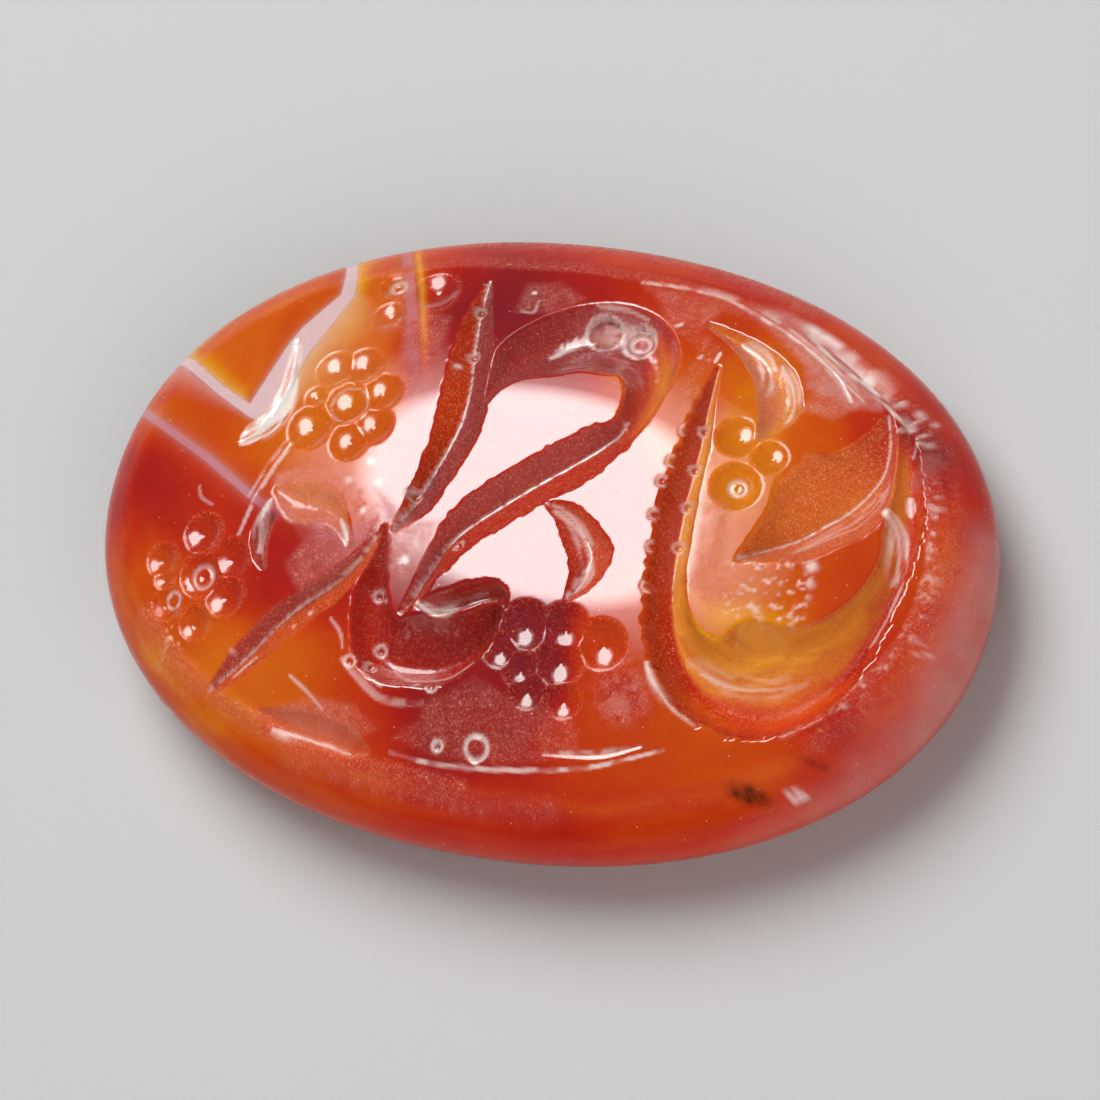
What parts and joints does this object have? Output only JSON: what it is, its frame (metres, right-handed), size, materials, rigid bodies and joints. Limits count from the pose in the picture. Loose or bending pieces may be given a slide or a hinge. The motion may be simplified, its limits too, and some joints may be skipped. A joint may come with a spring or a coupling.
{
  "type": "intaglio gem",
  "caption": "Loose oval ringstone of banded carnelian with a domed, polished face engraved in intaglio with leaves, berries, a bud and a cup, and a flat back.",
  "frame": {"origin": "middle of the flat back", "axes": "+X along the long axis, +Y across the stone towards the tip of the tall blade, +Z out of the engraved face"},
  "size_m": [0.02, 0.014, 0.0047],
  "materials": {
    "orange_chalcedony": "polished, translucent",
    "white_chalcedony": "polished, clouded",
    "amber_carnelian": "polished, translucent",
    "lilac_chalcedony": "polished, clouded",
    "red_carnelian": "polished on the face and sides, frosted in the cuts"
  },
  "bodies": {
    "root": {"wedge_core": "orange_chalcedony", "white_seam": "white_chalcedony", "amber_zone": "amber_carnelian", "lilac_seam": "lilac_chalcedony", "red_body": "red_carnelian"}
  },
  "joints": []
}
